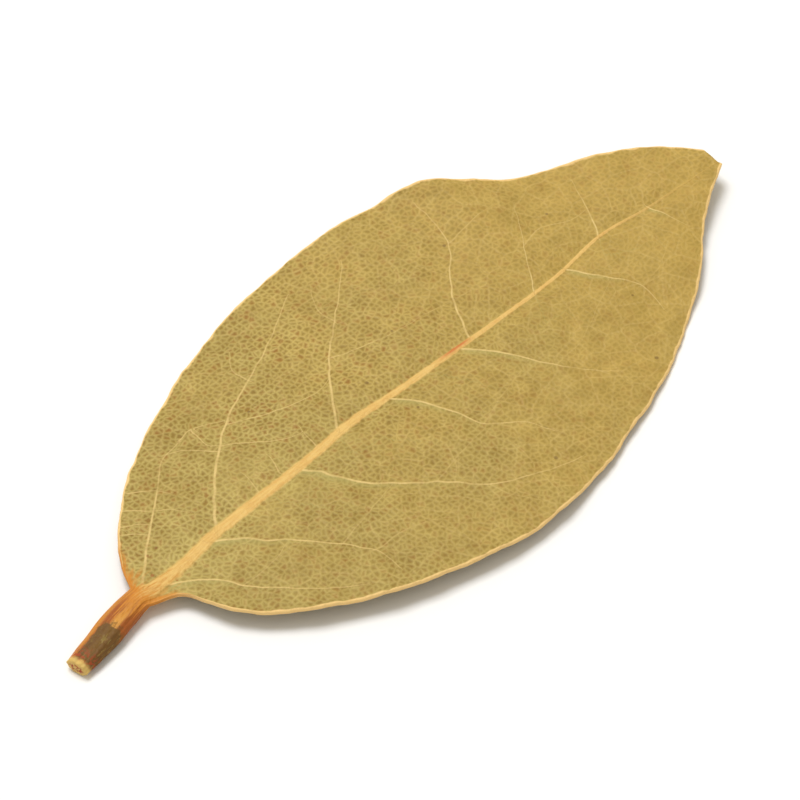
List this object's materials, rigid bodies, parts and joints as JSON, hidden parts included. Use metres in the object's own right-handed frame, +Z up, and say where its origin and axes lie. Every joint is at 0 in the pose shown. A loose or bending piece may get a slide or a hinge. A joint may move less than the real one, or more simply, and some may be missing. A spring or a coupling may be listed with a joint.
{
  "type": "dried bay leaf",
  "caption": "Dried bay leaf with its short cut stalk: a thin, gently twisted oval blade with a raised midrib, side veins and a wavy margin, lying on its underside.",
  "frame": {"origin": "middle of the leaf's outline, on the surface that the leaf lies on", "axes": "+X along the midrib from the stalk's cut end to the tip, +Y to the leaf's left margin, +Z up, out of its upper face"},
  "size_m": [0.0692, 0.0326, 0.0027],
  "materials": {
    "dried_leaf": "matte dry leaf, olive tan with pale yellow veins"
  },
  "bodies": {
    "root": {"bay_leaf": "dried_leaf"}
  },
  "joints": []
}
